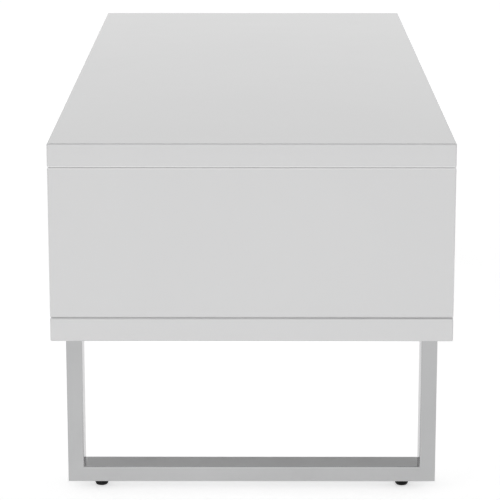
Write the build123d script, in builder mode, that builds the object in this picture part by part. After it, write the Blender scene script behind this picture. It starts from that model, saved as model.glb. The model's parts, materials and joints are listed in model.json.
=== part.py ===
from build123d import *
import os
from math import asin, ceil, cos, degrees, pi, radians, sin, sqrt

# Lift top coffee table, in millimetres
# Origin on the floor under the middle, +X along the length, +Z up, the user sits on the -Y side

# Boards
table_length = 1200.0
table_width = 500.0
top_thickness = 30.0
base_thickness = 30.0
panel_thickness = 18.0
panel_height = 189.3
arris = 1.0

# Glued tongues of the box
tongue_thickness = 8.0
tongue_depth = 6.0
tongue_setback = 20.0
glue_clearance = 0.1
shadow_joint = 0.5

# Felt pads under the top, let into the rim
pad_size = 12.0
pad_thickness = 0.6
pad_pocket = 0.4
pad_corner_setback = 45.0

# Sled legs of rectangular tube
leg_height = 190.0
leg_end_inset = 20.0
leg_side_inset = 17.5
tube_depth = 40.0
tube_face = 20.0
tube_wall = 1.5
tube_edge_radius = 1.5

# Mounting plates and their bolts
plate_thickness = 4.0
plate_reach = 34.0
plate_width = 36.0
bolt_radius = 4.0
bolt_length = 24.0
bolt_head_flats = 13.0
bolt_head_height = 5.3
bolt_clearance = 0.4
thread_clearance = 0.05
bolt_tip_clearance = 0.5

# Domed feet under the tube
foot_radius = 8.5
foot_height = 10.0
foot_sole_radius = 5.0
foot_dome_height = 5.0
foot_side_inset = 41.0

# Lift fitting, seen in the plane across the table
arm_length = 220.0
arm_closed_angle = 12.0
arm_swing = 110.0
pivot_spacing = 70.0
front_pivot_setback = 120.0
top_pivot_drop = 18.0
arm_base_radius = 14.0
arm_top_radius = 13.0

# Sheet and running gaps of the fitting
bracket_thickness = 2.5
bend_radius = 2.0
arm_thickness = 4.0
side_gap = 0.4
running_clearance = 0.08

# Brackets
bracket_pivot_margin = 18.0
bracket_foot_height = 14.0
bracket_front_reach = 40.0
bracket_rear_reach = 24.0
bracket_flange = 24.0
top_flange = 32.0
top_flange_overhang = 56.0
top_strip_height = 8.0

# Pivots
base_stud_radius = 5.0
base_stud_head_radius = 8.0
base_stud_head_height = 3.0
top_stud_radius = 4.0
top_stud_head_radius = 7.0
top_stud_head_height = 1.8

# End stop of the lift
stop_reach = 30.0
stop_radius = 4.0
stop_gap = 0.3

# Springs and their posts
crank_radius = 36.0
crank_end_radius = 10.0
spring_slope = -35.0
spring_span = 165.0
spring_offset = 22.0
spring_turns = 7
coil_length = 70.0
coil_radius = 8.0
wire_radius = 1.2
wire_sides = 5
hook_clearance = 0.4
hook_tail = 8.0
hook_rise = 9.0
post_radius = 2.5
post_overrun = 4.0

# Levels and lines that follow from these
leg_top = foot_height + leg_height
tube_top = leg_top - plate_thickness
base_top = leg_top + base_thickness
panel_foot = base_top + shadow_joint
rim = panel_foot + panel_height
pad_seat = rim - pad_pocket
lid_under = pad_seat + pad_thickness
panel_line = table_width / 2 - panel_thickness / 2
end_line = table_length / 2 - panel_thickness / 2
inner_end = table_length / 2 - panel_thickness
long_panel_length = table_length - 2 * panel_thickness
leg_x = table_length / 2 - leg_end_inset - tube_depth / 2
leg_side = table_width / 2 - leg_side_inset
tube_line = leg_side - tube_face / 2
foot_y = leg_side - foot_side_inset
pad_line = table_width / 2 - pad_corner_setback
sides = (-1, 1)


# Step of unit length at an angle in the plane across the table
def way(angle):
    return Vector(cos(radians(angle)), sin(radians(angle)))


# Pivots and spring ends as (Y, Z), with the top shut
pivot_slope = arm_closed_angle + arm_swing / 2 - 90
arm_line = way(arm_closed_angle) * arm_length
front_pivot = Vector(
    front_pivot_setback - table_width / 2,
    lid_under - top_pivot_drop - arm_line.Y,
)
rear_pivot = front_pivot + way(pivot_slope) * pivot_spacing
front_top_pivot = front_pivot + arm_line
rear_top_pivot = rear_pivot + arm_line
crank_closed_angle = spring_slope - 90 - arm_swing / 2
crank_open_angle = crank_closed_angle + arm_swing
crank_pin = front_pivot + way(crank_closed_angle) * crank_radius
spring_anchor = crank_pin + way(spring_slope) * spring_span
crank_taper = asin((arm_base_radius - crank_end_radius) / crank_radius)
stop_lead = asin((arm_base_radius + stop_radius + stop_gap) / stop_reach) - crank_taper
stop_pin = front_pivot + way(crank_open_angle + degrees(stop_lead)) * stop_reach

# Layers of the fitting along X, from the right end panel inward
bracket_face = inner_end - bracket_thickness
arm_outer = bracket_face - side_gap
arm_inner = arm_outer - arm_thickness
web_outer = arm_inner - side_gap
web_inner = web_outer - bracket_thickness
spring_x = inner_end - spring_offset
post_end = spring_x - wire_radius - post_overrun

# Footprints of the brackets
bracket_front = front_pivot.X - bracket_front_reach
bracket_rear = spring_anchor.X + bracket_rear_reach
top_front = front_top_pivot.X - top_flange_overhang
top_rear = rear_top_pivot.X + arm_top_radius

# Bolt places on the mounting plates
bolt_x = leg_x - tube_depth / 2 - plate_reach / 2
plate_y = leg_side - plate_width / 2

# Lift top
with BuildPart() as lift_top:
    with BuildSketch(Plane.XY.offset(lid_under)):
        Rectangle(table_length, table_width)
    extrude(amount=top_thickness)
    chamfer(lift_top.edges(), arris)

# Base board, grooved for the panels and bored for the leg bolts
with BuildPart() as base_board:
    with BuildSketch(Plane.XY.offset(leg_top)):
        Rectangle(table_length, table_width)
    extrude(amount=base_thickness)
    chamfer(base_board.edges(), arris)
    with BuildSketch(Plane.XY.offset(base_top)):
        with Locations((0, panel_line), (0, -panel_line)):
            Rectangle(
                long_panel_length - 2 * tongue_setback + 2 * glue_clearance,
                tongue_thickness + 2 * glue_clearance,
            )
        with Locations((end_line, 0), (-end_line, 0)):
            Rectangle(
                tongue_thickness + 2 * glue_clearance,
                table_width - 2 * tongue_setback + 2 * glue_clearance,
            )
    extrude(amount=-tongue_depth, mode=Mode.SUBTRACT)
    with BuildSketch(Plane.XY.offset(leg_top)):
        with GridLocations(2 * bolt_x, 2 * plate_y, 2, 2):
            Circle(bolt_radius + thread_clearance)
    extrude(amount=bolt_length - plate_thickness + bolt_tip_clearance, mode=Mode.SUBTRACT)

# Back panel, tongued at both ends, and standing on its lower tongue over a shadow joint
with BuildPart() as back_panel:
    with BuildSketch(Plane.XY.offset(panel_foot)):
        with Locations((0, panel_line)):
            Rectangle(long_panel_length, panel_thickness)
    extrude(amount=panel_height)
    chamfer(back_panel.faces().sort_by(Axis.Y)[-1].edges(), arris)
    with BuildSketch(Plane.XY.offset(panel_foot + tongue_setback)):
        with Locations((0, panel_line)):
            Rectangle(long_panel_length + 2 * tongue_depth, tongue_thickness)
    extrude(amount=panel_height - 2 * tongue_setback)
    with BuildSketch(Plane.XY.offset(panel_foot)):
        with Locations((0, panel_line)):
            Rectangle(long_panel_length - 2 * tongue_setback, tongue_thickness)
    extrude(amount=-shadow_joint - tongue_depth)
    with BuildSketch(Plane.XY.offset(pad_seat)):
        with Locations((0, panel_line)):
            Rectangle(pad_size + 2 * glue_clearance, pad_size + 2 * glue_clearance)
    extrude(amount=pad_pocket, mode=Mode.SUBTRACT)

# Front panel
with BuildPart() as front_panel:
    mirror(back_panel.part, about=Plane.XZ)

# Right end panel, the full width of the table
with BuildPart() as right_end_panel:
    with BuildSketch(Plane.XY.offset(panel_foot)):
        with Locations((end_line, 0)):
            Rectangle(panel_thickness, table_width)
    extrude(amount=panel_height)
    outer_faces = [
        right_end_panel.faces().sort_by(Axis.X)[-1],
        right_end_panel.faces().sort_by(Axis.Y)[0],
        right_end_panel.faces().sort_by(Axis.Y)[-1],
    ]
    chamfer(set(edge for face in outer_faces for edge in face.edges()), arris)
    with BuildSketch(Plane.XY.offset(panel_foot)):
        with Locations((end_line, 0)):
            Rectangle(tongue_thickness, table_width - 2 * tongue_setback)
    extrude(amount=-shadow_joint - tongue_depth)
    with BuildSketch(Plane.XY.offset(panel_foot + tongue_setback - glue_clearance)):
        with Locations((inner_end, panel_line), (inner_end, -panel_line)):
            Rectangle(
                2 * (tongue_depth + glue_clearance),
                tongue_thickness + 2 * glue_clearance,
            )
    extrude(amount=panel_height - 2 * tongue_setback + 2 * glue_clearance, mode=Mode.SUBTRACT)
    with BuildSketch(Plane.XY.offset(pad_seat)):
        with Locations((end_line, pad_line), (end_line, -pad_line)):
            Rectangle(pad_size + 2 * glue_clearance, pad_size + 2 * glue_clearance)
    extrude(amount=pad_pocket, mode=Mode.SUBTRACT)

# Left end panel
with BuildPart() as left_end_panel:
    mirror(right_end_panel.part, about=Plane.YZ)

# Felt pads in the rim, which the shut top rests on
with BuildPart() as rim_pads:
    with BuildSketch(Plane.XY.offset(pad_seat)):
        with GridLocations(2 * end_line, 2 * pad_line, 2, 2):
            Rectangle(pad_size, pad_size)
        with GridLocations(0, 2 * panel_line, 1, 2):
            Rectangle(pad_size, pad_size)
    extrude(amount=pad_thickness)

# Right sled leg, a hollow tube mitred into a U
with BuildPart() as right_leg_frame:
    with BuildLine(Plane.YZ.offset(leg_x)) as leg_path:
        Polyline(
            (-tube_line, tube_top),
            (-tube_line, foot_height + tube_face / 2),
            (tube_line, foot_height + tube_face / 2),
            (tube_line, tube_top),
        )
    with BuildSketch(Plane(origin=leg_path.line @ 0, x_dir=(1, 0, 0), z_dir=leg_path.line % 0)):
        RectangleRounded(tube_depth, tube_face, tube_edge_radius)
        Rectangle(tube_depth - 2 * tube_wall, tube_face - 2 * tube_wall, mode=Mode.SUBTRACT)
    sweep(transition=Transition.RIGHT)

# Left sled leg
with BuildPart() as left_leg_frame:
    mirror(right_leg_frame.part, about=Plane.YZ)

# Plates welded on the four uprights
with BuildPart() as leg_plates:
    with BuildSketch(Plane.XY.offset(tube_top)):
        with GridLocations(2 * (leg_x - plate_reach / 2), 2 * plate_y, 2, 2):
            Rectangle(tube_depth + plate_reach, plate_width)
        with GridLocations(2 * bolt_x, 2 * plate_y, 2, 2):
            Circle(bolt_radius + bolt_clearance, mode=Mode.SUBTRACT)
    extrude(amount=plate_thickness)

# Bolts of the plates
with BuildPart() as leg_bolts:
    with BuildSketch(Plane.XY.offset(tube_top)):
        with GridLocations(2 * bolt_x, 2 * plate_y, 2, 2):
            RegularPolygon(bolt_head_flats / 2, 6, major_radius=False)
    extrude(amount=-bolt_head_height)
    with BuildSketch(Plane.XY.offset(tube_top)):
        with GridLocations(2 * bolt_x, 2 * plate_y, 2, 2):
            Circle(bolt_radius)
    extrude(amount=bolt_length)

# Domed rubber feet under the legs
with BuildPart() as feet:
    for end in sides:
        for side in sides:
            centre = Plane(origin=(end * leg_x, side * foot_y, 0), x_dir=(1, 0, 0), z_dir=(0, -1, 0))
            with BuildSketch(centre):
                with BuildLine():
                    Polyline(
                        (0, 0),
                        (foot_sole_radius, 0),
                        (foot_radius, foot_dome_height),
                        (foot_radius, foot_height),
                        (0, foot_height),
                        close=True,
                    )
                make_face()
            revolve(axis=Axis(centre.origin, (0, 0, 1)))

# Right base bracket, a bent plate screwed to the end panel and the base board
with BuildPart() as right_base_bracket:
    with BuildSketch(Plane.YZ.offset(bracket_face)):
        with Locations(front_pivot, rear_pivot):
            Circle(bracket_pivot_margin)
        with Locations(((bracket_front + bracket_rear) / 2, base_top + bracket_foot_height / 2)):
            Rectangle(bracket_rear - bracket_front, bracket_foot_height)
        make_hull()
    extrude(amount=bracket_thickness)
    with BuildSketch(Plane.XY.offset(base_top)):
        with Locations((bracket_face - bracket_flange / 2, (bracket_front + bracket_rear) / 2)):
            Rectangle(bracket_flange, bracket_rear - bracket_front)
    extrude(amount=bracket_thickness)
    bracket_edges = right_base_bracket.edges().filter_by(Axis.Y)
    fillet(
        bracket_edges.sort_by_distance((bracket_face, bracket_front, base_top + bracket_thickness))[0],
        bend_radius,
    )
    bracket_edges = right_base_bracket.edges().filter_by(Axis.Y)
    fillet(
        bracket_edges.sort_by_distance((inner_end, bracket_front, base_top))[0],
        bend_radius + bracket_thickness,
    )

# Left base bracket
with BuildPart() as left_base_bracket:
    mirror(right_base_bracket.part, about=Plane.YZ)

# Right front arm, a bell crank whose short end takes the spring
with BuildPart() as right_front_arm:
    for far_end, far_radius in ((front_top_pivot, arm_top_radius), (crank_pin, crank_end_radius)):
        with BuildSketch(Plane.YZ.offset(arm_inner)):
            with Locations(front_pivot):
                Circle(arm_base_radius)
            with Locations(far_end):
                Circle(far_radius)
            make_hull()
        extrude(amount=arm_thickness)
    with BuildSketch(Plane.YZ.offset(arm_inner)):
        with Locations(front_pivot):
            Circle(base_stud_radius + running_clearance)
        with Locations(front_top_pivot):
            Circle(top_stud_radius + running_clearance)
    extrude(amount=arm_thickness, mode=Mode.SUBTRACT)

# Left front arm
with BuildPart() as left_front_arm:
    mirror(right_front_arm.part, about=Plane.YZ)

# Right rear arm
with BuildPart() as right_rear_arm:
    with BuildSketch(Plane.YZ.offset(arm_inner)):
        with Locations(rear_pivot):
            Circle(arm_base_radius)
        with Locations(rear_top_pivot):
            Circle(arm_top_radius)
        make_hull()
        with Locations(rear_pivot):
            Circle(base_stud_radius + running_clearance, mode=Mode.SUBTRACT)
        with Locations(rear_top_pivot):
            Circle(top_stud_radius + running_clearance, mode=Mode.SUBTRACT)
    extrude(amount=arm_thickness)

# Left rear arm
with BuildPart() as left_rear_arm:
    mirror(right_rear_arm.part, about=Plane.YZ)

# Right top bracket, a bent plate screwed under the lift top
with BuildPart() as right_top_bracket:
    with BuildSketch(Plane.YZ.offset(web_inner)):
        with Locations(front_top_pivot, rear_top_pivot):
            Circle(arm_top_radius)
        with Locations(((top_front + top_rear) / 2, lid_under - top_strip_height / 2)):
            Rectangle(top_rear - top_front, top_strip_height)
        make_hull()
    extrude(amount=bracket_thickness)
    with BuildSketch(Plane.XY.offset(lid_under)):
        with Locations((web_inner - top_flange / 2, (top_front + top_rear) / 2)):
            Rectangle(top_flange, top_rear - top_front)
    extrude(amount=-bracket_thickness)
    bracket_edges = right_top_bracket.edges().filter_by(Axis.Y)
    fillet(
        bracket_edges.sort_by_distance((web_inner, top_front, lid_under - bracket_thickness))[0],
        bend_radius,
    )
    bracket_edges = right_top_bracket.edges().filter_by(Axis.Y)
    fillet(
        bracket_edges.sort_by_distance((web_outer, top_front, lid_under))[0],
        bend_radius + bracket_thickness,
    )

# Left top bracket
with BuildPart() as left_top_bracket:
    mirror(right_top_bracket.part, about=Plane.YZ)

# Shoulder studs welded to the base brackets, on which the arms turn
with BuildPart() as base_pivot_studs:
    with BuildSketch(Plane.YZ.offset(bracket_face)):
        with Locations(front_pivot, rear_pivot):
            Circle(base_stud_radius)
    extrude(amount=web_outer - bracket_face)
    with BuildSketch(Plane.YZ.offset(web_outer)):
        with Locations(front_pivot, rear_pivot):
            Circle(base_stud_head_radius)
    extrude(amount=-base_stud_head_height)
    mirror(about=Plane.YZ)

# Shoulder studs welded to the top brackets, carried by the arms
with BuildPart() as top_pivot_studs:
    with BuildSketch(Plane.YZ.offset(web_outer)):
        with Locations(front_top_pivot, rear_top_pivot):
            Circle(top_stud_radius)
    extrude(amount=bracket_face - web_outer)
    with BuildSketch(Plane.YZ.offset(bracket_face)):
        with Locations(front_top_pivot, rear_top_pivot):
            Circle(top_stud_head_radius)
    extrude(amount=top_stud_head_height)
    mirror(about=Plane.YZ)

# Stop pins that the cranks meet when the top is up
with BuildPart() as stop_pins:
    with BuildSketch(Plane.YZ.offset(bracket_face)):
        with Locations(stop_pin):
            Circle(stop_radius)
    extrude(amount=arm_inner - bracket_face)
    mirror(about=Plane.YZ)

# Spring post on the right crank
with BuildPart() as right_crank_post:
    with BuildSketch(Plane.YZ.offset(arm_inner)):
        with Locations(crank_pin):
            Circle(post_radius)
    extrude(amount=post_end - arm_inner)

# Spring post on the left crank
with BuildPart() as left_crank_post:
    mirror(right_crank_post.part, about=Plane.YZ)

# Spring posts on the base brackets
with BuildPart() as base_spring_posts:
    with BuildSketch(Plane.YZ.offset(bracket_face)):
        with Locations(spring_anchor):
            Circle(post_radius)
    extrude(amount=post_end - bracket_face)
    mirror(about=Plane.YZ)


# Points along the spring from its upper post, across it in its own plane, and sideways along X
def spring_vector(along, across, sideways):
    slope = radians(spring_slope)
    return Vector(
        sideways,
        along * cos(slope) - across * sin(slope),
        along * sin(slope) + across * cos(slope),
    )


def spring_point(along, across, sideways):
    return Vector(spring_x, crank_pin.X, crank_pin.Y) + spring_vector(along, across, sideways)


# Two arcs that leave one point and reach the next, smooth at both and where they meet
def smooth_arcs(start, start_way, finish, finish_way):
    chord = finish - start
    ways = start_way + finish_way
    spread = 2 * (1 - start_way.dot(finish_way))
    lean = chord.dot(ways)
    reach = (sqrt(lean * lean + spread * chord.dot(chord)) - lean) / spread
    leave = start + start_way * reach
    arrive = finish - finish_way * reach
    middle = (leave + arrive) * 0.5
    TangentArc(start, middle, tangent=start_way)
    TangentArc(middle, finish, tangent=(arrive - leave).normalized())


hook_radius = post_radius + wire_radius + hook_clearance
coil_start = (spring_span - coil_length) / 2
hook_lead = coil_start - hook_rise
coil_pitch = coil_length / spring_turns
half_turns = 2 * spring_turns
along_way = spring_vector(1, 0, 0)
across_way = spring_vector(0, 1, 0)


def coil_point(half_turn):
    angle = pi * half_turn
    along = coil_start + coil_pitch * half_turn / 2
    return spring_point(along, coil_radius * cos(angle), coil_radius * sin(angle))


def coil_way(half_turn):
    angle = pi * half_turn
    sideways = 2 * pi * coil_radius * cos(angle)
    return spring_vector(coil_pitch, -2 * pi * coil_radius * sin(angle), sideways).normalized()


# Right spring, hooked round its posts at both ends
with BuildPart() as right_spring:
    with BuildLine() as spring_path:
        Line(spring_point(hook_tail, -hook_radius, 0), spring_point(0, -hook_radius, 0))
        TangentArc(
            spring_point(0, -hook_radius, 0),
            spring_point(-hook_radius, 0, 0),
            tangent=along_way * -1,
        )
        TangentArc(
            spring_point(-hook_radius, 0, 0),
            spring_point(0, hook_radius, 0),
            tangent=across_way,
        )
        Line(spring_point(0, hook_radius, 0), spring_point(hook_lead, hook_radius, 0))
        smooth_arcs(spring_point(hook_lead, hook_radius, 0), along_way, coil_point(0), coil_way(0))
        for half_turn in range(half_turns):
            smooth_arcs(
                coil_point(half_turn),
                coil_way(half_turn),
                coil_point(half_turn + 1),
                coil_way(half_turn + 1),
            )
        far_lead = spring_point(spring_span - hook_lead, hook_radius, 0)
        smooth_arcs(coil_point(half_turns), coil_way(half_turns), far_lead, along_way)
        Line(far_lead, spring_point(spring_span, hook_radius, 0))
        TangentArc(
            spring_point(spring_span, hook_radius, 0),
            spring_point(spring_span + hook_radius, 0, 0),
            tangent=along_way,
        )
        TangentArc(
            spring_point(spring_span + hook_radius, 0, 0),
            spring_point(spring_span, -hook_radius, 0),
            tangent=across_way * -1,
        )
        Line(
            spring_point(spring_span, -hook_radius, 0),
            spring_point(spring_span - hook_tail, -hook_radius, 0),
        )
    spring_wire = spring_path.wires()[0]
    with BuildSketch(Plane(origin=spring_wire @ 0, z_dir=spring_wire % 0)):
        RegularPolygon(wire_radius, wire_sides)
    sweep(path=spring_wire, clean=False)

# Left spring, wound the same way as the right one
with BuildPart() as left_spring:
    with Locations((-2 * spring_x, 0, 0)):
        add(right_spring.part, clean=False)

# Least gap between the spring's wire and itself, measured on points along it
sample_count = ceil(spring_wire.length / wire_radius)
samples = [spring_wire @ (index / sample_count) for index in range(sample_count + 1)]
neighbours = 6
wire_gap = min(
    (samples[one] - samples[other]).length
    for one in range(len(samples))
    for other in range(one + neighbours, len(samples))
)
print(f"spring wire {spring_wire.length:.0f} mm, least gap to itself {wire_gap - 2 * wire_radius:.2f} mm")

pieces = {
    "lift_top": lift_top,
    "base_board": base_board,
    "front_panel": front_panel,
    "back_panel": back_panel,
    "left_end_panel": left_end_panel,
    "right_end_panel": right_end_panel,
    "rim_pads": rim_pads,
    "left_leg_frame": left_leg_frame,
    "right_leg_frame": right_leg_frame,
    "leg_plates": leg_plates,
    "leg_bolts": leg_bolts,
    "feet": feet,
    "left_base_bracket": left_base_bracket,
    "right_base_bracket": right_base_bracket,
    "left_front_arm": left_front_arm,
    "right_front_arm": right_front_arm,
    "left_rear_arm": left_rear_arm,
    "right_rear_arm": right_rear_arm,
    "left_top_bracket": left_top_bracket,
    "right_top_bracket": right_top_bracket,
    "base_pivot_studs": base_pivot_studs,
    "top_pivot_studs": top_pivot_studs,
    "stop_pins": stop_pins,
    "left_crank_post": left_crank_post,
    "right_crank_post": right_crank_post,
    "base_spring_posts": base_spring_posts,
    "left_spring": left_spring,
    "right_spring": right_spring,
}

os.makedirs("parts", exist_ok=True)
for name, piece in pieces.items():
    piece.part.label = name
    export_step(piece.part, f"parts/{name}.step")
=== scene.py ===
import json
import math

import bmesh
import bpy
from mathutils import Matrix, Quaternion, Vector


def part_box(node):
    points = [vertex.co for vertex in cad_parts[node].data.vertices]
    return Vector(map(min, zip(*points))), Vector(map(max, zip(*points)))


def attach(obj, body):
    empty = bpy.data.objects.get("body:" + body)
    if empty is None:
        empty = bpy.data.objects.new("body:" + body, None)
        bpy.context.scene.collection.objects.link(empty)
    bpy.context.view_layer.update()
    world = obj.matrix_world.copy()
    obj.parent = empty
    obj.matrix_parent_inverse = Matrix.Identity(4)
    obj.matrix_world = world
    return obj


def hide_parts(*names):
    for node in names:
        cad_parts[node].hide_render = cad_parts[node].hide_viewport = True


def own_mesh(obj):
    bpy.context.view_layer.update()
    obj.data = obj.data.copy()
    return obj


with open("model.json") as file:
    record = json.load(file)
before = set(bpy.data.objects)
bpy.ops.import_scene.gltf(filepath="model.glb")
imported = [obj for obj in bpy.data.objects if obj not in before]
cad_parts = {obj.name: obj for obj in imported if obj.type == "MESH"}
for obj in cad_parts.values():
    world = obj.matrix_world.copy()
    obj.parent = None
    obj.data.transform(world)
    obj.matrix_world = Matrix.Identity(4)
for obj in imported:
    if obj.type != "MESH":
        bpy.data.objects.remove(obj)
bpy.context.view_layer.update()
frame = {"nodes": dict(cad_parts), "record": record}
nodes = frame["nodes"]
bodies = frame["record"]["behaviour"]["bodies"]
bodyOf = {node: body for body, members in bodies.items() for node in members}
scene = bpy.context.scene
mm = 0.001
ends = {"left": -1, "right": 1}


# Bench work: picking, selecting and finishing meshes

bench = {
    "weld": 0.005 * mm,  # points closer than this are joined
    "flat": 0.5,  # degrees between faces that become one
    "sharp": 32,  # degrees past which an edge isn't smoothed over
    "rise": 0.001 * mm,  # an edge that rises less than this is level
    "square": 0.1,  # a face lies along an axis if its normal has less than this of it
    "facing": 0.9,  # and looks along the axis if its normal has more than this
}


def boxOf(node):  # lowest and highest corner of a CAD node
    return [Vector(corner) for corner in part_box(node)]


def pickOnly(piece):
    if bpy.context.mode != "OBJECT":
        bpy.ops.object.mode_set(mode="OBJECT")
    bpy.ops.object.select_all(action="DESELECT")
    piece.select_set(True)
    bpy.context.view_layer.objects.active = piece


def openMesh(piece, selectMode):
    pickOnly(piece)
    bpy.ops.object.mode_set(mode="EDIT")
    bpy.ops.mesh.select_mode(type=selectMode)
    bpy.ops.mesh.select_all(action="DESELECT")


def selectFaces(piece, test):
    mesh = bmesh.from_edit_mesh(piece.data)
    for face in mesh.faces:
        if test(face.calc_center_median(), face.normal):
            face.select_set(True)
    bmesh.update_edit_mesh(piece.data)


def selectEdges(piece, test):
    mesh = bmesh.from_edit_mesh(piece.data)
    for edge in mesh.edges:
        if test(edge):
            edge.select_set(True)
    bmesh.update_edit_mesh(piece.data)


def bendOf(edge):  # angle between the two faces of an edge, in degrees
    return math.degrees(edge.calc_face_angle(0.0))


def levelOf(edge):  # height of an edge that lies level, or None
    low, high = sorted(vert.co.z for vert in edge.verts)
    return low if high - low < bench["rise"] else None


def applyModifier(piece, kind, **settings):
    pickOnly(piece)
    modifier = piece.modifiers.new(kind.title(), kind)
    for key, value in settings.items():
        setattr(modifier, key, value)
    bpy.ops.object.modifier_apply(modifier=modifier.name)


def startPiece(name):  # the primitive just added, with its place put into its mesh
    piece = bpy.context.object
    piece.name = piece.data.name = name
    bpy.ops.object.transform_apply(location=True, rotation=True, scale=True)
    return piece


def weldMesh(piece):
    openMesh(piece, "EDGE")
    bpy.ops.mesh.select_all(action="SELECT")
    bpy.ops.mesh.remove_doubles(threshold=bench["weld"])


def rollEdges(piece, width, segments, wearAndPaintedLight):
    # rounds the selected edges and marks the new faces by the way they look, up, sideways and down,
    # from 1, the edge tone (wear on metal, painted shade on lacquer), to -1, a painted highlight
    while len(piece.data.materials) < 2:
        piece.data.materials.append(None)
    bpy.ops.mesh.bevel(offset=width, segments=segments, affect="EDGES", clamp_overlap=True, material=1)
    mesh = bmesh.from_edit_mesh(piece.data)
    layer = mesh.loops.layers.float.get("arris") or mesh.loops.layers.float.new("arris")
    for face in mesh.faces:
        if face.material_index == 1:
            face.material_index = 0
            rise = face.normal.z
            looks = 0 if rise > bench["square"] else 2 if rise < -bench["square"] else 1
            for loop in face.loops:
                loop[layer] = wearAndPaintedLight[looks]
    bmesh.update_edit_mesh(piece.data)


def smoothPiece(piece):
    pickOnly(piece)
    bpy.ops.object.shade_smooth_by_angle(angle=math.radians(bench["sharp"]))
    applyModifier(piece, "WEIGHTED_NORMAL", keep_sharp=True)


def softCopy(node, name, work, width, wearAndPaintedLight=(1.0, 1.0, 1.0)):
    # a copy of a CAD node, its triangles joined up and the edges of the work's bend rounded
    piece = bpy.data.objects.new(name, nodes[node].data.copy())
    piece.data.name = name
    scene.collection.objects.link(piece)
    pickOnly(piece)
    bpy.ops.mesh.customdata_custom_splitnormals_clear()
    weldMesh(piece)
    bpy.ops.mesh.dissolve_limited(angle_limit=math.radians(bench["flat"]))
    bpy.ops.mesh.select_all(action="DESELECT")
    least, most = work["bend"]
    selectEdges(piece, lambda edge: least < bendOf(edge) < most)
    rollEdges(piece, width, work["segments"], wearAndPaintedLight)
    smoothPiece(piece)
    return piece


def uprightSpots(places, level):  # spots for copies that stand upright at one level
    return [((x, y, level), (0, 0, 1), 0) for x, y in places]


def copyTo(source, name, spots):
    # copies of one small piece joined into a set, each spot a place, a direction and a turn
    copies = []
    for place, direction, turn in spots:
        extra = bpy.data.objects.new(name, source.data.copy())
        scene.collection.objects.link(extra)
        extra.rotation_mode = "QUATERNION"
        lean = Vector((0, 0, 1)).rotation_difference(Vector(direction))
        extra.rotation_quaternion = lean @ Quaternion((0, 0, 1), turn)
        extra.location = place
        copies.append(extra)
    pickOnly(copies[0])
    for extra in copies:
        extra.select_set(True)
    bpy.ops.object.join()
    bpy.ops.object.transform_apply(location=True, rotation=True, scale=True)
    joined = bpy.context.object
    joined.name = joined.data.name = name
    return joined


def settle(piece, body, material, slotName, *replaced):
    piece.data.materials.clear()
    piece.data.materials.append(material)
    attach(piece, body)
    if replaced:
        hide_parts(*replaced)


# Shader work

def addNode(tree, kind, **values):
    node = tree.nodes.new(kind)
    for key, value in values.items():
        if hasattr(node, key):
            setattr(node, key, value)
        else:
            node.inputs[key.replace("_", " ")].default_value = value
    return node


def objectNoise(tree, **values):  # a noise that stays with the piece
    place = addNode(tree, "ShaderNodeTexCoord")
    noise = addNode(tree, "ShaderNodeTexNoise", **values)
    tree.links.new(place.outputs["Object"], noise.inputs["Vector"])
    return noise


def newGroup(name, inputs, outputs):
    tree = bpy.data.node_groups.new(name, "ShaderNodeTree")
    for label, (kind, value) in inputs.items():
        socket = tree.interface.new_socket(label, in_out="INPUT", socket_type="NodeSocket" + kind)
        socket.default_value = value
    for label, kind in outputs.items():
        tree.interface.new_socket(label, in_out="OUTPUT", socket_type="NodeSocket" + kind)
    return tree, tree.nodes.new("NodeGroupInput"), tree.nodes.new("NodeGroupOutput")


def useGroup(tree, group, **values):
    node = tree.nodes.new("ShaderNodeGroup")
    node.node_tree = group
    for key, value in values.items():
        node.inputs[key.replace("_", " ")].default_value = value
    return node


def newMaterial(name, **values):
    material = bpy.data.materials.new(name)
    material.use_nodes = True
    tree = material.node_tree
    shader = tree.nodes["Principled BSDF"]
    for key, value in values.items():
        shader.inputs[key.replace("_", " ")].default_value = value
    return material, tree, shader


def buildFilm():
    # the cloudy film of handling and wiping that every surface carries
    tree, given, result = newGroup(
        "surfaceFilm",
        {"Size": ("Float", 8.0), "Low": ("Float", 0.1), "High": ("Float", 0.2)},
        {"Value": "Float", "Mask": "Float"},
    )
    cloud = objectNoise(tree, Detail=5.0, Roughness=0.6, Distortion=0.6)
    spread = addNode(tree, "ShaderNodeMapRange", From_Min=0.32, From_Max=0.68)
    level = addNode(tree, "ShaderNodeMapRange")
    tree.links.new(given.outputs["Size"], cloud.inputs["Scale"])
    tree.links.new(cloud.outputs["Fac"], spread.inputs["Value"])
    tree.links.new(spread.outputs["Result"], level.inputs["Value"])
    tree.links.new(given.outputs["Low"], level.inputs["To Min"])
    tree.links.new(given.outputs["High"], level.inputs["To Max"])
    tree.links.new(level.outputs["Result"], result.inputs["Value"])
    tree.links.new(spread.outputs["Result"], result.inputs["Mask"])
    return tree


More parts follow.
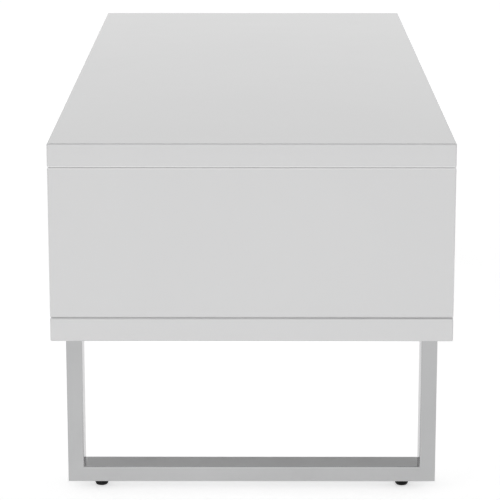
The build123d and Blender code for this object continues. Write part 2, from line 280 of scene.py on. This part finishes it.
def buildEdges():
    # the rounded arris: above zero nearer the edge tone, which is wear on metal and painted shade on
    # lacquer; below zero nearer the highlight tone, a painted highlight
    tree, given, result = newGroup(
        "arrisTone",
        {
            "Tone": ("Color", (0.7, 0.7, 0.7, 1)),
            "Edge Tone": ("Color", (0.6, 0.6, 0.6, 1)),
            "Highlight Tone": ("Color", (0.9, 0.9, 0.9, 1)),
            "Break": ("Float", 60.0),
            "Amount": ("Float", 1.0),
        },
        {"Color": "Color"},
    )
    edge = addNode(tree, "ShaderNodeAttribute", attribute_name="arris")
    patch = objectNoise(tree, Detail=3.0)
    spread = addNode(tree, "ShaderNodeMapRange", From_Min=0.3, From_Max=0.6, To_Min=0.45)
    broken = addNode(tree, "ShaderNodeMath", operation="MULTIPLY")
    share = addNode(tree, "ShaderNodeMath", operation="MULTIPLY")
    rubbedAndShaded = addNode(tree, "ShaderNodeMix", data_type="RGBA")
    paintedHighlight = addNode(tree, "ShaderNodeMath", operation="MULTIPLY")
    paintedHighlight.inputs[1].default_value = -1.0  # arrises with a painted highlight are marked below zero
    mix = addNode(tree, "ShaderNodeMix", data_type="RGBA")
    tree.links.new(given.outputs["Break"], patch.inputs["Scale"])
    tree.links.new(patch.outputs["Fac"], spread.inputs["Value"])
    tree.links.new(spread.outputs["Result"], broken.inputs[0])
    tree.links.new(edge.outputs["Fac"], broken.inputs[1])
    tree.links.new(broken.outputs["Value"], share.inputs[0])
    tree.links.new(given.outputs["Amount"], share.inputs[1])
    tree.links.new(share.outputs["Value"], rubbedAndShaded.inputs["Factor"])
    tree.links.new(given.outputs["Tone"], rubbedAndShaded.inputs["A"])
    tree.links.new(given.outputs["Edge Tone"], rubbedAndShaded.inputs["B"])
    tree.links.new(edge.outputs["Fac"], paintedHighlight.inputs[0])
    tree.links.new(paintedHighlight.outputs["Value"], mix.inputs["Factor"])
    tree.links.new(rubbedAndShaded.outputs["Result"], mix.inputs["A"])
    tree.links.new(given.outputs["Highlight Tone"], mix.inputs["B"])
    tree.links.new(mix.outputs["Result"], result.inputs["Color"])
    return tree


def buildGrain():
    # fine lines left by drawing, rolling or polishing, along the axis with the smallest stretch
    tree, given, result = newGroup(
        "drawnGrain",
        {"Stretch": ("Vector", (40.0, 900.0, 900.0)), "Low": ("Float", 0.0), "High": ("Float", 1.0)},
        {"Height": "Float", "Value": "Float"},
    )
    place = addNode(tree, "ShaderNodeTexCoord")
    scaled = addNode(tree, "ShaderNodeVectorMath", operation="MULTIPLY")
    lines = addNode(tree, "ShaderNodeTexNoise", Scale=1.0, Detail=4.0, Roughness=0.55)
    level = addNode(tree, "ShaderNodeMapRange", From_Min=0.3, From_Max=0.7)
    tree.links.new(place.outputs["Object"], scaled.inputs[0])
    tree.links.new(given.outputs["Stretch"], scaled.inputs[1])
    tree.links.new(scaled.outputs["Vector"], lines.inputs["Vector"])
    tree.links.new(lines.outputs["Fac"], level.inputs["Value"])
    tree.links.new(given.outputs["Low"], level.inputs["To Min"])
    tree.links.new(given.outputs["High"], level.inputs["To Max"])
    tree.links.new(lines.outputs["Fac"], result.inputs["Height"])
    tree.links.new(level.outputs["Result"], result.inputs["Value"])
    return tree


surfaceFilm = buildFilm()
arrisTone = buildEdges()
drawnGrain = buildGrain()
print("shader groups built")


def tonePair(tree, mask, low, high):  # a colour that drifts between two tones
    mix = addNode(tree, "ShaderNodeMix", data_type="RGBA")
    tree.links.new(mask, mix.inputs["Factor"])
    mix.inputs["A"].default_value = (*low, 1)
    mix.inputs["B"].default_value = (*high, 1)
    return mix.outputs["Result"]


def cloudTone(tree, look):
    cloud = useGroup(tree, surfaceFilm, Size=look["clouds"])
    return tonePair(tree, cloud.outputs["Mask"], *look["tones"])


def edgeTone(tree, shader, look, tone):
    edge = useGroup(tree, arrisTone, Edge_Tone=look["arris"], Break=look["patches"], Amount=look["rubbedAndShaded"])
    tree.links.new(tone, edge.inputs["Tone"])
    tree.links.new(edge.outputs["Color"], shader.inputs["Base Color"])
    return edge


def filmGloss(tree, shader, look):
    low, high = look["gloss"]
    film = useGroup(tree, surfaceFilm, Size=look["film"], Low=low, High=high)
    tree.links.new(film.outputs["Value"], shader.inputs["Roughness"])


def bumpFrom(tree, shader, height, strength, distance):
    bump = addNode(tree, "ShaderNodeBump", Strength=strength, Distance=distance)
    tree.links.new(height, bump.inputs["Height"])
    tree.links.new(bump.outputs["Normal"], shader.inputs["Normal"])


# In the looks below, clouds, film, patches, peel, grain and fibres are the scales of their noise
# and bump is a strength and a height.

lacquerLook = {
    "tones": ((0.757, 0.757, 0.76), (0.777, 0.777, 0.779)),
    "clouds": 1.6,
    # the edge tone, which on the lacquer's arrises is painted shade
    "arris": (0.57, 0.57, 0.57, 1),
    # the tone of the painted highlight on arrises marked below zero
    "paintedHighlight": (0.95, 0.95, 0.95, 1),
    "patches": 5.0,
    "rubbedAndShaded": 0.8,  # share of the edge tone that shows, painted shade on the lacquer's arrises
    "gloss": (0.1, 0.14),  # roughness where wiped clean, and where filmed
    "film": 9.0,
    "peel": 230.0,
    "bump": (0.03, 0.15 * mm),
    "index": 1.45,  # of refraction
}


def makeLacquer():
    material, tree, shader = newMaterial("whiteLacquer", Metallic=0.0, IOR=lacquerLook["index"])
    edge = edgeTone(tree, shader, lacquerLook, cloudTone(tree, lacquerLook))
    edge.inputs["Highlight Tone"].default_value = lacquerLook["paintedHighlight"]
    filmGloss(tree, shader, lacquerLook)
    peel = objectNoise(tree, Scale=lacquerLook["peel"], Detail=1.0)
    bumpFrom(tree, shader, peel.outputs["Fac"], *lacquerLook["bump"])
    return material


chromeLook = {
    "tones": ((0.455, 0.457, 0.46), (0.495, 0.497, 0.5)),
    "clouds": 5.0,
    "arris": (0.52, 0.522, 0.525, 1),
    "patches": 90.0,
    "rubbedAndShaded": 0.6,
    "glance": (0.66, 0.66, 0.66, 1),  # share of the mirror that is left at a glancing view
    "gloss": (0.03, 0.085),
    "film": 26.0,
    "lines": (900.0, 900.0, 60.0),
    "bump": (0.03, 0.05 * mm),
}


def makeChrome():
    material, tree, shader = newMaterial("polishedChrome", Metallic=1.0, Specular_Tint=chromeLook["glance"])
    edgeTone(tree, shader, chromeLook, cloudTone(tree, chromeLook))
    filmGloss(tree, shader, chromeLook)
    lines = useGroup(tree, drawnGrain, Stretch=chromeLook["lines"])
    bumpFrom(tree, shader, lines.outputs["Height"], *chromeLook["bump"])
    return material


zincLook = {
    "tones": ((0.53, 0.539, 0.553), (0.59, 0.598, 0.61)),
    "clouds": 30.0,
    "streaks": (0.93, 1.0),  # how far the rolling lines darken the plating
    "arris": (0.72, 0.725, 0.735, 1),
    "patches": 200.0,
    "rubbedAndShaded": 0.9,
    "gloss": (0.27, 0.38),
    "film": 55.0,
    "lines": (800.0, 45.0, 800.0),
    "bump": (0.12, 0.08 * mm),
}


def makeZinc():
    material, tree, shader = newMaterial("zincPlate", Metallic=1.0)
    low, high = zincLook["streaks"]
    lines = useGroup(tree, drawnGrain, Stretch=zincLook["lines"], Low=low, High=high)
    streaked = addNode(tree, "ShaderNodeVectorMath", operation="MULTIPLY")
    tree.links.new(cloudTone(tree, zincLook), streaked.inputs[0])
    tree.links.new(lines.outputs["Value"], streaked.inputs[1])
    edgeTone(tree, shader, zincLook, streaked.outputs["Vector"])
    filmGloss(tree, shader, zincLook)
    bumpFrom(tree, shader, lines.outputs["Height"], *zincLook["bump"])
    return material


wireLook = {
    "tones": ((0.24, 0.24, 0.25), (0.42, 0.42, 0.43)),
    "gloss": (0.22, 0.4),
    "film": 70.0,
    "lines": (900.0, 300.0, 300.0),
    "bump": (0.1, 0.05 * mm),
}


def makeWire():
    material, tree, shader = newMaterial("springWire", Metallic=1.0)
    lines = useGroup(tree, drawnGrain, Stretch=wireLook["lines"])
    tone = tonePair(tree, lines.outputs["Value"], *wireLook["tones"])
    tree.links.new(tone, shader.inputs["Base Color"])
    filmGloss(tree, shader, wireLook)
    bumpFrom(tree, shader, lines.outputs["Height"], *wireLook["bump"])
    return material


rubberLook = {
    "tones": ((0.002, 0.002, 0.002), (0.01, 0.01, 0.01)),
    "clouds": 180.0,
    "gloss": (0.5, 0.68),
    "film": 120.0,
    "grain": 2600.0,
    "bump": (0.25, 0.1 * mm),
    "shine": 0.2,
}


def makeRubber():
    material, tree, shader = newMaterial("blackRubber", Metallic=0.0, Specular_IOR_Level=rubberLook["shine"])
    tree.links.new(cloudTone(tree, rubberLook), shader.inputs["Base Color"])
    filmGloss(tree, shader, rubberLook)
    grain = objectNoise(tree, Scale=rubberLook["grain"], Detail=2.0)
    bumpFrom(tree, shader, grain.outputs["Fac"], *rubberLook["bump"])
    return material


feltLook = {
    "tones": ((0.13, 0.13, 0.135), (0.3, 0.3, 0.31)),
    "gloss": (0.88, 1.0),
    "film": 220.0,
    "fibres": 1800.0,
    "bump": (0.6, 0.4 * mm),
    "sheen": 0.4,
}


def makeFelt():
    material, tree, shader = newMaterial("greyFelt", Metallic=0.0, Sheen_Weight=feltLook["sheen"])
    fibres = objectNoise(tree, Scale=feltLook["fibres"], Detail=6.0, Roughness=0.7, Distortion=2.5)
    tone = tonePair(tree, fibres.outputs["Fac"], *feltLook["tones"])
    tree.links.new(tone, shader.inputs["Base Color"])
    filmGloss(tree, shader, feltLook)
    bumpFrom(tree, shader, fibres.outputs["Fac"], *feltLook["bump"])
    return material


whiteLacquer = makeLacquer()
polishedChrome = makeChrome()
zincPlate = makeZinc()
springWire = makeWire()
blackRubber = makeRubber()
greyFelt = makeFelt()
print("materials built")


# Lacquered boards, their chamfers rolled into soft arrises

boardWork = {
    "bend": (40, 50),  # degrees, between the faces and their chamfers
    "roll": 0.69 * mm,
    "segments": 2,
    "wearAndPaintedLight": {  # painted light on the arrises that look up, sideways and down: above zero painted shade, as on the lid's upper arris and along the joint over the base; below zero a painted highlight, as under the lid's edge and on the panels' upper arrises
        "lift_top": (0.62, 0.1, -0.85),
        "base_board": (0.5, 0.1, 0.1),
        "front_panel": (-0.5, 0.1, 0.6),
        "back_panel": (-0.5, 0.1, 0.6),
        "left_end_panel": (-0.5, 0.1, 0.6),
        "right_end_panel": (-0.5, 0.1, 0.6),
    },
}
for node, wearAndPaintedLight in boardWork["wearAndPaintedLight"].items():
    board = softCopy(node, node + "_lacquered", boardWork, boardWork["roll"], wearAndPaintedLight)
    settle(board, bodyOf[node], whiteLacquer, "white_lacquer", node)
print("boards:", len(boardWork["wearAndPaintedLight"]))


# Polished sled legs, plates and bolts

legWork = {"bend": (60, 120), "mitre": 0.5 * mm, "plate": 0.5 * mm, "segments": 3}
boltWork = {"bend": (50, 120), "roll": 0.5 * mm, "segments": 3}
for side in ends:
    node = side + "_leg_frame"
    sled = softCopy(node, side + "_sled", legWork, legWork["mitre"])
    settle(sled, bodyOf[node], polishedChrome, "polished_tube", node)
plates = softCopy("leg_plates", "sled_plates", legWork, legWork["plate"])
settle(plates, bodyOf["leg_plates"], polishedChrome, "polished_tube", "leg_plates")
bolts = softCopy("leg_bolts", "sled_bolts", boltWork, boltWork["roll"])
settle(bolts, bodyOf["leg_bolts"], zincPlate, "zinc_steel", "leg_bolts")
print("sled legs built")


# Lift fitting in zinc-plated steel

fittingWork = {
    "bend": (60, 120),
    "segments": 3,
    "roll": {  # a name that starts with _ is a pair, one at each end
        "_base_bracket": 0.45 * mm,
        "_top_bracket": 0.45 * mm,
        "_front_arm": 0.6 * mm,
        "_rear_arm": 0.6 * mm,
        "_crank_post": 0.4 * mm,
        "base_pivot_studs": 0.9 * mm,
        "top_pivot_studs": 0.7 * mm,
        "stop_pins": 0.6 * mm,
        "base_spring_posts": 0.4 * mm,
    },
    "grooved": ("_crank_post", "base_spring_posts"),
}
springSide = 560.0  # X of the springs and of the grooves that hold their hooks, in millimetres
postGroove = {"place": springSide * mm, "width": 3.2 * mm, "depth": 1.0 * mm}


def turnGroove(post):
    place, half = postGroove["place"], postGroove["width"] / 2

    def inGroove(centre, normal):  # on the round of the post, at either end
        return abs(abs(centre.x) - place) < half and abs(normal.x) < bench["square"]

    openMesh(post, "FACE")
    for cut in (-place - half, -place + half, place - half, place + half):
        bpy.ops.mesh.select_all(action="SELECT")
        bpy.ops.mesh.bisect(plane_co=(cut, 0, 0), plane_no=(1, 0, 0))
    bpy.ops.mesh.select_all(action="DESELECT")
    selectFaces(post, inGroove)
    bpy.ops.mesh.extrude_region_shrink_fatten(TRANSFORM_OT_shrink_fatten={"value": -postGroove["depth"]})
    smoothPiece(post)


for part, width in fittingWork["roll"].items():
    names = [side + part for side in ends] if part.startswith("_") else [part]
    for node in names:
        piece = softCopy(node, node + "_zinc", fittingWork, width)
        if part in fittingWork["grooved"]:
            turnGroove(piece)
        settle(piece, bodyOf[node], zincPlate, "zinc_steel", node)
print("lift fitting built")


# Rubber feet: a turned dome with a screw up its middle

footShape = {  # in millimetres
    "radius": 8.5,
    "height": 10.0,
    "sole": 5.4,  # radius of the flat that stands on the floor
    "shoulder": 4.4,  # height at which the bowl turns into a straight side
    "bowlSteps": 10,
    "lip": 0.5,
    "recess": (3.0, 2.6),  # radius and depth of the screw's recess
    "recessEdge": 0.3,
    "round": 0.3,  # share of the lip and of the recess's edge where their middle ring lies
    "sides": 56,
    "setback": 41.0,  # from the outer face of the sled to the middle of the foot
}


def footRings():
    # radius and height of each ring, from the recess down to the sole and up to the rim
    radius, height, lip = footShape["radius"], footShape["height"], footShape["lip"]
    recess, edge = footShape["recess"][0], footShape["recessEdge"]
    sole, shoulder, share = footShape["sole"], footShape["shoulder"], footShape["round"]
    steps = footShape["bowlSteps"]
    rings = [(recess, edge), (recess + share * edge, share * edge), (recess + edge, 0), (sole, 0)]
    for step in range(1, steps + 1):
        angle = math.radians(90 * step / steps)
        rings.append((sole + (radius - sole) * math.sin(angle), shoulder * (1 - math.cos(angle))))
    rings += [(radius, height - lip), (radius - share * lip, height - share * lip), (radius - lip, height)]
    return rings


def makeFoot():
    recess, depth = footShape["recess"]
    bpy.ops.object.select_all(action="DESELECT")
    bpy.ops.mesh.primitive_circle_add(
        vertices=footShape["sides"], radius=recess * mm, fill_type="NGON", location=(0, 0, depth * mm)
    )
    foot = startPiece("footMaster")
    openMesh(foot, "EDGE")
    selectEdges(foot, lambda edge: True)
    wasRadius, wasHeight = recess, depth
    for radius, height in footRings():
        bpy.ops.mesh.extrude_edges_move(TRANSFORM_OT_translate={"value": (0, 0, (height - wasHeight) * mm)})
        ratio = radius / wasRadius
        bpy.ops.transform.resize(value=(ratio, ratio, 1), center_override=(0, 0, height * mm))
        wasRadius, wasHeight = radius, height
    bpy.ops.mesh.edge_face_add()
    bpy.ops.mesh.select_all(action="SELECT")
    bpy.ops.mesh.normals_make_consistent(inside=False)
    smoothPiece(foot)
    return foot


sledLow, sledHigh = boxOf("right_leg_frame")
footX = (sledLow.x + sledHigh.x) / 2
footY = sledHigh.y - footShape["setback"] * mm
footPlaces = [(x, y) for x in (-footX, footX) for y in (-footY, footY)]
footMaster = makeFoot()
feet = copyTo(footMaster, "rubber_feet", uprightSpots(footPlaces, 0))
settle(feet, "carcass", blackRubber, "black_rubber", "feet")
print("feet:", len(footPlaces))


# Pan-head screws with a cross recess

bracketScrew = {
    "radius": 4.2 * mm,
    "height": 2.0 * mm,
    "dome": 1.5 * mm,
    "cross": (4.4 * mm, 1.0 * mm, 1.2 * mm),  # length, width and depth of the recess
}
footScrew = {
    "radius": 2.5 * mm,
    "height": 1.4 * mm,
    "dome": 1.0 * mm,
    "cross": (2.8 * mm, 0.7 * mm, 0.8 * mm),
}
screwWork = {
    "sides": 40,
    "rim": 0.1 * mm,  # level edges this close to the top are domed
    "domeSegments": 6,
    "taper": 0.7,  # width of the recess at its floor, as a share of that at the top
    "firstTurn": 0.37,  # radians
    "nextTurn": 1.13,  # each screw stops at a turn of its own
}
screwPlaces = {  # at the right end; the left one mirrors them
    "sheet": 2.5 * mm,  # thickness of the brackets
    "web": [(-157 * mm, 264 * mm), (-65.6 * mm, 264 * mm)],  # Y and Z on the upright of the base bracket
    "foot": [-157 * mm, -19.8 * mm],  # Y along its foot
    "footEdge": 12 * mm,  # in from the foot's free edge
    "top": [42 * mm, 96 * mm, 150 * mm],  # Y along the top bracket
    "topEdge": 15.8 * mm,  # in from its free edge
}


def makeScrew(shape):
    height = shape["height"]
    bpy.ops.mesh.primitive_cylinder_add(
        vertices=screwWork["sides"], radius=shape["radius"], depth=height, location=(0, 0, height / 2)
    )
    screw = startPiece("screwMaster")
    openMesh(screw, "EDGE")
    rim = height - screwWork["rim"]
    selectEdges(screw, lambda edge: levelOf(edge) is not None and levelOf(edge) > rim)
    bpy.ops.mesh.bevel(offset=shape["dome"], segments=screwWork["domeSegments"], affect="EDGES")
    length, width, depth = shape["cross"]
    taper = screwWork["taper"]
    bars = []
    for size in ((length, width), (width, length)):
        bpy.ops.object.mode_set(mode="OBJECT")
        bpy.ops.mesh.primitive_cube_add(size=1, location=(0, 0, height))
        bpy.context.object.scale = (*size, 2 * depth)  # its upper half stands over the head
        bar = startPiece("crossBar")
        openMesh(bar, "FACE")
        selectFaces(bar, lambda centre, normal: normal.z < -bench["facing"])
        bpy.ops.transform.resize(value=(taper, taper, 1), center_override=(0, 0, height))
        bars.append(bar)
    for bar in bars:
        applyModifier(screw, "BOOLEAN", object=bar, operation="DIFFERENCE", solver="EXACT")
        bpy.data.objects.remove(bar)
    smoothPiece(screw)
    return screw


def driveScrews(master, name, body, spots):
    turned = []
    for index, (place, way) in enumerate(spots):
        turned.append((place, way, screwWork["firstTurn"] + screwWork["nextTurn"] * index))
    settle(copyTo(master, name, turned), body, zincPlate, "zinc_steel")


bracketMaster = makeScrew(bracketScrew)
soleMaster = makeScrew(footScrew)
baseLow, baseHigh = boxOf("right_base_bracket")
topLow, topHigh = boxOf("right_top_bracket")
webX = baseHigh.x - screwPlaces["sheet"]
footScrewX, footScrewZ = baseLow.x + screwPlaces["footEdge"], baseLow.z + screwPlaces["sheet"]
topScrewX, topScrewZ = topLow.x + screwPlaces["topEdge"], topHigh.z - screwPlaces["sheet"]
baseSpots = []
topSpots = []
for sign in ends.values():
    baseSpots += [((sign * webX, y, z), (-sign, 0, 0)) for y, z in screwPlaces["web"]]
    baseSpots += [((sign * footScrewX, y, footScrewZ), (0, 0, 1)) for y in screwPlaces["foot"]]
    topSpots += [((sign * topScrewX, y, topScrewZ), (0, 0, -1)) for y in screwPlaces["top"]]
soleLevel = footShape["recess"][1] * mm
soleSpots = [((x, y, soleLevel), (0, 0, -1)) for x, y in footPlaces]
driveScrews(bracketMaster, "base_bracket_screws", "carcass", baseSpots)
driveScrews(bracketMaster, "top_bracket_screws", "lift_top", topSpots)
driveScrews(soleMaster, "foot_screws", "carcass", soleSpots)
for master in (footMaster, bracketMaster, soleMaster):
    bpy.data.objects.remove(master)
print("screws:", len(baseSpots) + len(topSpots) + len(soleSpots))


# Extension springs: a close coil of round wire with a hook at each end

springShape = {  # in millimetres
    "pin": (-166.0, 356.259),  # Y and Z of the post on the crank
    "slope": -35.0,  # degrees
    "span": 165.0,  # from post to post
    "coilLength": 78.0,
    "turns": 17,
    "turnSteps": 20,
    "coilRadius": 8.0,
    "wire": 1.2,  # radius
    "wireSteps": 3,
    "hook": 4.1,  # half the width of the hook
    "hookSteps": 12,
    "reach": 3.6,  # how far its bend goes past the post's middle
    "tail": 6.0,  # straight end of the wire after the bend
    "side": springSide,
    "sharp": 50,  # degrees past which the wire isn't smoothed over
    "keep": 0.6425,  # share of the span that is left when the top is up
}


def springLine(sign):
    # points of the wire from the crank's hook through the coil to the other, and the way that they run
    slope = math.radians(springShape["slope"])
    way = Vector((0, math.cos(slope), math.sin(slope)))
    across = Vector((0, -math.sin(slope), math.cos(slope)))
    start = Vector((sign * springShape["side"], *springShape["pin"]))
    span, tail, length = springShape["span"], springShape["tail"], springShape["coilLength"]
    hook, reach, coil = springShape["hook"], springShape["reach"], springShape["coilRadius"]
    turns, hookSteps = springShape["turns"], springShape["hookSteps"]
    bends = [math.pi * step / hookSteps for step in range(hookSteps + 1)]
    flat = [(tail, -hook, 0)]
    flat += [(-reach * math.sin(angle), -hook * math.cos(angle), 0) for angle in bends]
    steps = springShape["turnSteps"] * turns
    for step in range(steps + 1):
        turn = step / steps * turns
        edge = min(turn, turns - turn, 1.0)  # the first and last turn widen from the hook to the coil
        radius = hook + (coil - hook) * edge * edge * (3 - 2 * edge)
        angle = 2 * math.pi * turn
        along = (span - length) / 2 + length * step / steps
        flat.append((along, radius * math.cos(angle), radius * math.sin(angle)))
    flat += [(span + reach * math.sin(angle), hook * math.cos(angle), 0) for angle in bends]
    flat.append((span - tail, -hook, 0))
    return [start + way * a + across * b + Vector((c, 0, 0)) for a, b, c in flat], way


def windSpring(name, line):
    curve = bpy.data.curves.new(name, "CURVE")
    curve.dimensions = "3D"
    curve.bevel_depth = springShape["wire"] * mm
    curve.bevel_resolution = springShape["wireSteps"]
    curve.use_fill_caps = True
    spline = curve.splines.new("POLY")
    spline.points.add(len(line) - 1)
    for point, place in zip(spline.points, line):
        point.co = (*(place * mm), 1)
    holder = bpy.data.objects.new(name, curve)
    scene.collection.objects.link(holder)
    pickOnly(holder)
    bpy.ops.object.convert(target="MESH")
    spring = bpy.context.object
    weldMesh(spring)  # closes the ends of the wire
    pickOnly(spring)
    bpy.ops.object.shade_smooth_by_angle(angle=math.radians(springShape["sharp"]))
    return spring


for side, sign in ends.items():
    line, way = springLine(sign)
    spring = windSpring(side + "_lift_spring", line)
    settle(spring, "carcass", springWire, "spring_steel", side + "_spring")
    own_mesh(spring)
print("springs wound")


# Felt pads in the rim

padShape = {
    "size": 12 * mm,
    "thickness": 0.6 * mm,
    "corner": 1.6 * mm,
    "cornerSegments": 5,
    "roll": 0.18 * mm,
    "rollSegments": 3,
    "bend": 60,  # degrees past which a level edge is rolled
    "spread": 205 * mm,  # of the end pads, to either side of the middle
}


def makePad():
    half = padShape["thickness"] / 2
    bpy.ops.mesh.primitive_cube_add(size=1, location=(0, 0, half))
    bpy.context.object.scale = (padShape["size"], padShape["size"], padShape["thickness"])
    pad = startPiece("padMaster")
    openMesh(pad, "EDGE")
    selectEdges(pad, lambda edge: levelOf(edge) is None)
    bpy.ops.mesh.bevel(offset=padShape["corner"], segments=padShape["cornerSegments"], affect="EDGES")
    bpy.ops.mesh.select_all(action="DESELECT")
    selectEdges(pad, lambda edge: levelOf(edge) is not None and bendOf(edge) > padShape["bend"])
    bpy.ops.mesh.bevel(offset=padShape["roll"], segments=padShape["rollSegments"], affect="EDGES")
    smoothPiece(pad)
    return pad


padLow, padHigh = boxOf("rim_pads")
padX, padY = padHigh.x - padShape["size"] / 2, padHigh.y - padShape["size"] / 2
padPlaces = [(x, y) for x in (-padX, padX) for y in (-padShape["spread"], padShape["spread"])]
padPlaces += [(0, -padY), (0, padY)]
padMaster = makePad()
pads = copyTo(padMaster, "felt_pads", uprightSpots(padPlaces, padLow.z))
settle(pads, "carcass", greyFelt, "grey_felt", "rim_pads")
bpy.data.objects.remove(padMaster)
print("felt pads:", len(padPlaces))


# Stage: pale floor, white studio, soft light and the camera

stageLook = {
    "floorSize": 120,
    "floorTone": (0.86, 0.86, 0.86, 1),
    "floorGlow": 0.30,  # light that the lit floor gives back
    "floorLift": 0.22,  # added to it where the camera or a reflection sees it
    "horizon": 1.28,  # light from the walls of the studio
    "zenith": 0.31,  # light from its ceiling
    "wallTop": 0.9,  # height in the sky at which the walls have become the ceiling, 1 straight up
    "ceiling": 0.3,  # the ceiling where the camera or a reflection sees it
    "ceilingEdge": (0.75, 0.97),  # heights in the sky between which it turns from white
    "lampPower": 0.12,
    "lampSpread": 70,  # degrees
    "lampTurn": (20, 55, -20),
}


def seenRay(tree):  # 1 for what the camera, a mirror or glass sees
    path = addNode(tree, "ShaderNodeLightPath")
    first = addNode(tree, "ShaderNodeMath", operation="MAXIMUM")
    second = addNode(tree, "ShaderNodeMath", operation="MAXIMUM")
    tree.links.new(path.outputs["Is Camera Ray"], first.inputs[0])
    tree.links.new(path.outputs["Is Glossy Ray"], first.inputs[1])
    tree.links.new(first.outputs["Value"], second.inputs[0])
    tree.links.new(path.outputs["Is Transmission Ray"], second.inputs[1])
    return second.outputs["Value"]


def makeFloor():
    bpy.ops.mesh.primitive_plane_add(size=stageLook["floorSize"], location=(0, 0, 0))
    floor = startPiece("studio_floor")
    material, tree, shader = newMaterial(
        "paleFloor",
        Base_Color=stageLook["floorTone"],
        Roughness=0.9,
        Specular_IOR_Level=0.0,
        Emission_Color=(1, 1, 1, 1),
    )
    lift = addNode(tree, "ShaderNodeMath", operation="MULTIPLY_ADD")
    lift.inputs[1].default_value = stageLook["floorLift"]
    lift.inputs[2].default_value = stageLook["floorGlow"]
    tree.links.new(seenRay(tree), lift.inputs[0])
    tree.links.new(lift.outputs["Value"], shader.inputs["Emission Strength"])
    side = addNode(tree, "ShaderNodeNewGeometry")
    clear = addNode(tree, "ShaderNodeBsdfTransparent")
    oneSided = addNode(tree, "ShaderNodeMixShader")  # seen through from below, so that the underside shows
    tree.links.new(side.outputs["Backfacing"], oneSided.inputs["Fac"])
    tree.links.new(shader.outputs["BSDF"], oneSided.inputs[1])
    tree.links.new(clear.outputs["BSDF"], oneSided.inputs[2])
    tree.links.new(oneSided.outputs["Shader"], tree.nodes["Material Output"].inputs["Surface"])
    floor.data.materials.append(material)


def makeWorld():
    world = bpy.data.worlds.new("studio")
    scene.world = world
    world.use_nodes = True
    tree = world.node_tree
    place = addNode(tree, "ShaderNodeTexCoord")
    split = addNode(tree, "ShaderNodeSeparateXYZ")
    level = addNode(tree, "ShaderNodeMapRange", From_Min=0.0, From_Max=stageLook["wallTop"])
    level.inputs["To Min"].default_value = stageLook["horizon"]
    level.inputs["To Max"].default_value = stageLook["zenith"]
    low, high = stageLook["ceilingEdge"]
    seen = addNode(tree, "ShaderNodeMapRange", From_Min=low, From_Max=high, To_Min=1.0)
    seen.inputs["To Max"].default_value = stageLook["ceiling"]
    strength = addNode(tree, "ShaderNodeMix", data_type="FLOAT")
    tree.links.new(place.outputs["Generated"], split.inputs["Vector"])
    tree.links.new(split.outputs["Z"], level.inputs["Value"])
    tree.links.new(split.outputs["Z"], seen.inputs["Value"])
    tree.links.new(seenRay(tree), strength.inputs["Factor"])
    tree.links.new(level.outputs["Result"], strength.inputs["A"])
    tree.links.new(seen.outputs["Result"], strength.inputs["B"])
    background = tree.nodes["Background"]
    background.inputs["Color"].default_value = (1, 1, 1, 1)
    tree.links.new(strength.outputs["Result"], background.inputs["Strength"])


def makeLamp():
    lamp = bpy.data.lights.new("softbox", "SUN")
    lamp.energy = stageLook["lampPower"]
    lamp.angle = math.radians(stageLook["lampSpread"])
    holder = bpy.data.objects.new("softbox", lamp)
    scene.collection.objects.link(holder)
    holder.rotation_euler = [math.radians(turn) for turn in stageLook["lampTurn"]]


cameraSet = {
    "place": (3.3433, 0.0040, 0.9747),
    "down": 13.482,  # degrees below level
    "turn": 90.127,
    "lens": 165.15,
    "sensor": 36.0,
    "clipEnd": 200,
}


def makeCamera():
    data = bpy.data.cameras.new("photoCamera")
    camera = bpy.data.objects.new("photoCamera", data)
    scene.collection.objects.link(camera)
    camera.location = cameraSet["place"]
    camera.rotation_euler = (math.radians(90 - cameraSet["down"]), 0, math.radians(cameraSet["turn"]))
    data.sensor_width = cameraSet["sensor"]
    data.lens = cameraSet["lens"]
    data.clip_end = cameraSet["clipEnd"]
    scene.camera = camera


makeFloor()
makeWorld()
makeLamp()
makeCamera()
scene.view_settings.view_transform = "Standard"
print("stage set")
